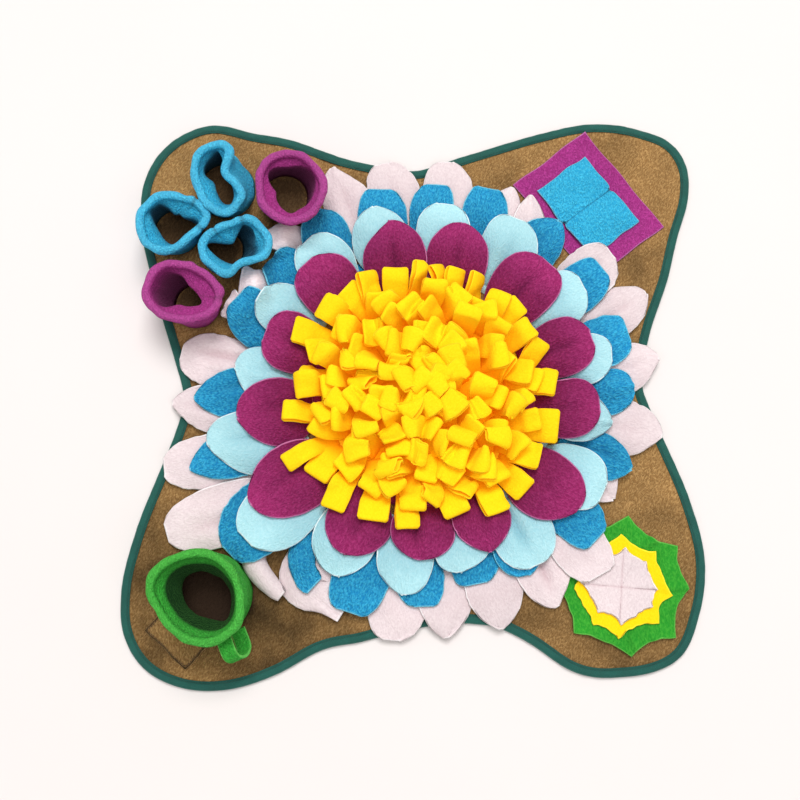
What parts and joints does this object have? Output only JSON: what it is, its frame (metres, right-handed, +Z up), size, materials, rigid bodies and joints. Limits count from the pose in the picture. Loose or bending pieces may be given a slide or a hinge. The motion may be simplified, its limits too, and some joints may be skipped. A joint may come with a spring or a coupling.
{
  "type": "snuffle mat",
  "caption": "Four-lobed fleece mat with a bound edge, a layered petal flower with a heart of loops, tube cups, panels and a star to hide treats in.",
  "frame": {"origin": "middle of the mat's bounding rectangle, on the surface it lies on", "axes": "+Z up out of the mat, +X to the right with the tube cups at the left, +Y away from the green cup"},
  "size_m": [0.6218, 0.6276, 0.0843],
  "materials": {
    "brown_fleece": "short napped fleece, matt",
    "teal_binding": "plain woven binding, folded over the edge, slight sheen",
    "pink_fleece": "short napped fleece, matt",
    "blue_fleece": "short napped fleece, matt",
    "sky_fleece": "short napped fleece, matt",
    "plum_fleece": "short napped fleece, matt",
    "yellow_fleece": "short napped fleece, matt",
    "green_fleece": "short napped fleece, matt"
  },
  "bodies": {
    "root": {"base_mat": "brown_fleece", "edge_binding": "teal_binding", "patch_brown": "brown_fleece", "panel_plum": "plum_fleece", "panel_blue": "blue_fleece", "star_green": "green_fleece", "star_yellow": "yellow_fleece", "star_pink": "pink_fleece", "petals_pink": "pink_fleece", "petals_blue": "blue_fleece", "petals_sky": "sky_fleece", "petals_plum": "plum_fleece", "loop_centre": "yellow_fleece", "cup_blue_back": "blue_fleece", "cup_blue_left": "blue_fleece", "cup_blue_front": "blue_fleece", "cup_plum_back": "plum_fleece", "cup_plum_front": "plum_fleece", "cup_green": "green_fleece", "handle_green": "green_fleece"}
  },
  "joints": []
}
